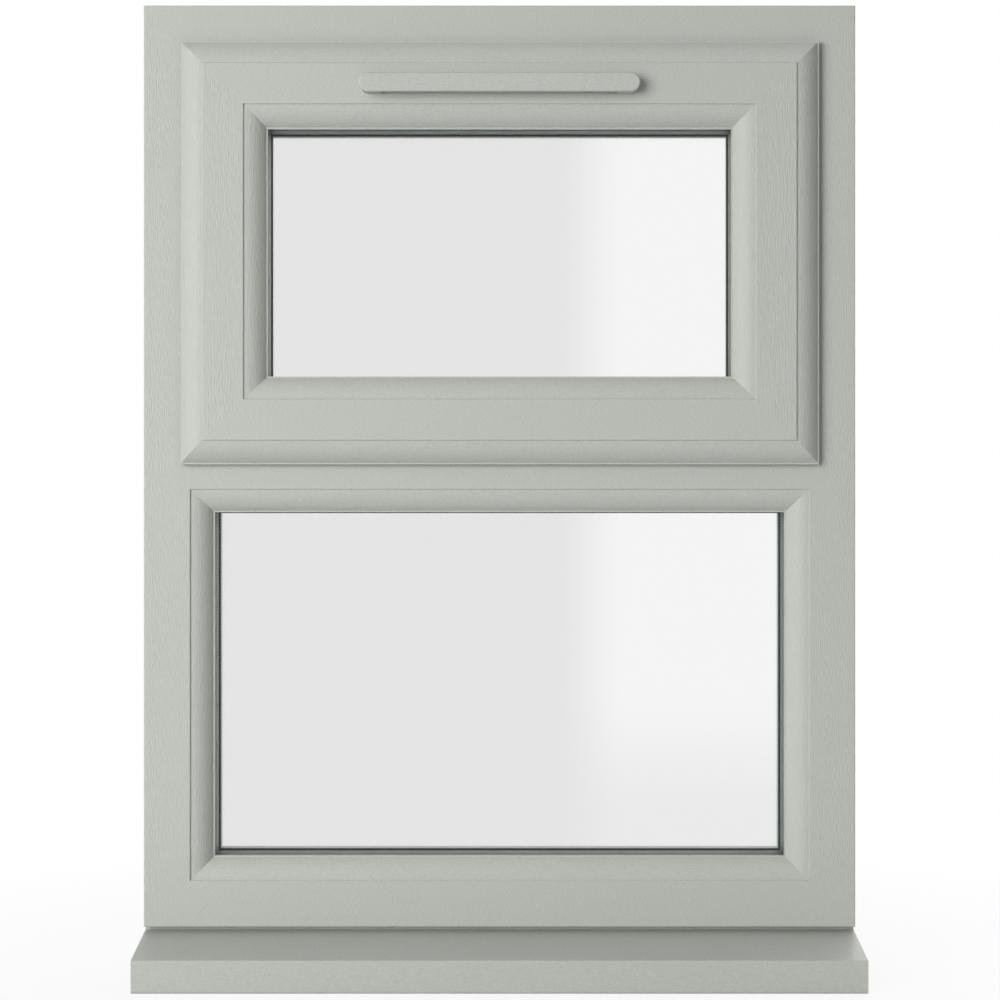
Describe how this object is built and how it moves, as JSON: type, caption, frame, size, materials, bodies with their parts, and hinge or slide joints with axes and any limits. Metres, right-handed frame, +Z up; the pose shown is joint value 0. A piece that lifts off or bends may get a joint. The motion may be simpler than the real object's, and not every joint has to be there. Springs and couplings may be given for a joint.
{
  "type": "top-hung window",
  "caption": "Top-hung window over a fixed light: mitred woodgrain vinyl frame, friction stays, espagnolette handle, trickle vent and projecting cill.",
  "frame": {"origin": "middle of the width on the cill's flat underside, straight below the outside face of the frame", "axes": "+X right as seen from outside, +Y into the room, +Z up"},
  "size_m": [0.61, 0.1622, 0.8325],
  "materials": {
    "grey_foil": "satin woodgrain foil on extruded vinyl",
    "glass": "clear float glass",
    "black_rubber": "matt",
    "spacer": "matt grey",
    "galvanised_steel": "galvanised",
    "packer_plastic": "moulded",
    "stainless": "satin stainless",
    "zinc": "plated",
    "satin_chrome": "satin chrome on die casting",
    "slider_plastic": "moulded"
  },
  "bodies": {
    "frame": {"frame_head": "grey_foil", "frame_left_jamb": "grey_foil", "frame_right_jamb": "grey_foil", "frame_bottom_rail": "grey_foil", "transom": "grey_foil", "frame_reinforcement": "galvanised_steel", "frame_weather_seal": "black_rubber", "cill": "grey_foil", "cill_left_cap": "grey_foil", "cill_right_cap": "grey_foil", "fixed_outer_pane": "glass", "fixed_inner_pane": "glass", "fixed_spacer_bar": "spacer", "fixed_edge_seal": "black_rubber", "fixed_setting_blocks": "packer_plastic", "fixed_bead_top": "grey_foil", "fixed_bead_bottom": "grey_foil", "fixed_bead_left": "grey_foil", "fixed_bead_right": "grey_foil", "fixed_outer_gasket": "black_rubber", "fixed_inner_gasket": "black_rubber", "keeps": "zinc", "left_stay_track": "stainless", "right_stay_track": "stainless", "frame_screws": "stainless"},
    "sash": {"sash_top_rail": "grey_foil", "sash_bottom_rail": "grey_foil", "sash_left_stile": "grey_foil", "sash_right_stile": "grey_foil", "sash_reinforcement": "galvanised_steel", "sash_weather_seal": "black_rubber", "sash_outer_pane": "glass", "sash_inner_pane": "glass", "sash_spacer_bar": "spacer", "sash_edge_seal": "black_rubber", "sash_setting_blocks": "packer_plastic", "sash_bead_top": "grey_foil", "sash_bead_bottom": "grey_foil", "sash_bead_left": "grey_foil", "sash_bead_right": "grey_foil", "sash_outer_gasket": "black_rubber", "sash_inner_gasket": "black_rubber", "vent_canopy": "grey_foil", "vent_body": "grey_foil", "lock_case": "zinc", "handle_base": "satin_chrome", "sash_bars": "stainless", "sash_screws": "stainless"},
    "short_arms": {"short_arms": "stainless"},
    "long_arms": {"long_arms": "stainless"},
    "nose_arms": {"nose_arms": "stainless"},
    "stay_sliders": {"stay_sliders": "slider_plastic"},
    "vent_flap": {"vent_flap": "grey_foil"},
    "lock_rod": {"lock_rod": "zinc"},
    "handle": {"handle_lever": "satin_chrome", "handle_spindle": "zinc"},
    "lock_button": {"lock_button": "satin_chrome"}
  },
  "joints": [
    {"name": "short_arm_turn", "type": "hinge", "parent": "frame", "child": "short_arms", "pos_m": [0, 0.014, 0.6725], "axis": [-1, 0, 0], "range_deg": [0, 56.11]},
    {"name": "long_arm_turn", "type": "hinge", "parent": "short_arms", "child": "long_arms", "pos_m": [0, 0.014, 0.6075], "axis": [-1, 0, 0], "range_deg": [-112.12, 0]},
    {"name": "sash_opening", "type": "hinge", "parent": "long_arms", "child": "sash", "pos_m": [0, 0.014, 0.6725], "axis": [-1, 0, 0], "range_deg": [0, 106]},
    {"name": "slider_turn", "type": "hinge", "parent": "long_arms", "child": "stay_sliders", "pos_m": [0, 0.014, 0.5425], "axis": [-1, 0, 0], "range_deg": [0, 56.11]},
    {"name": "nose_arm_turn", "type": "hinge", "parent": "frame", "child": "nose_arms", "pos_m": [0, 0.014, 0.7001], "axis": [-1, 0, 0], "range_deg": [-62.65, 0]},
    {"name": "handle_turn", "type": "hinge", "parent": "sash", "child": "handle", "pos_m": [0, 0.048, 0.472], "axis": [0, 1, 0], "range_deg": [0, 180]},
    {"name": "rod_slide", "type": "slide", "parent": "sash", "child": "lock_rod", "axis": [1, 0, 0], "range_m": [0, 0.019]},
    {"name": "button_press", "type": "slide", "parent": "handle", "child": "lock_button", "axis": [0, -1, 0], "range_m": [0, 0.003], "stiffness_N_per_m": 400},
    {"name": "flap_tilt", "type": "hinge", "parent": "sash", "child": "vent_flap", "pos_m": [0, 0.0564, 0.7415], "axis": [-1, 0, 0], "range_deg": [0, 50]}
  ],
  "couplings": [
    {"joint": "short_arm_turn", "follows": "sash_opening", "ratio": 0.52837},
    {"joint": "long_arm_turn", "follows": "sash_opening", "ratio": -1.0567},
    {"joint": "slider_turn", "follows": "sash_opening", "ratio": 0.52837},
    {"joint": "nose_arm_turn", "follows": "sash_opening", "ratio": -0.5901},
    {"joint": "rod_slide", "follows": "handle_turn", "m_per_rad": 0.006}
  ]
}
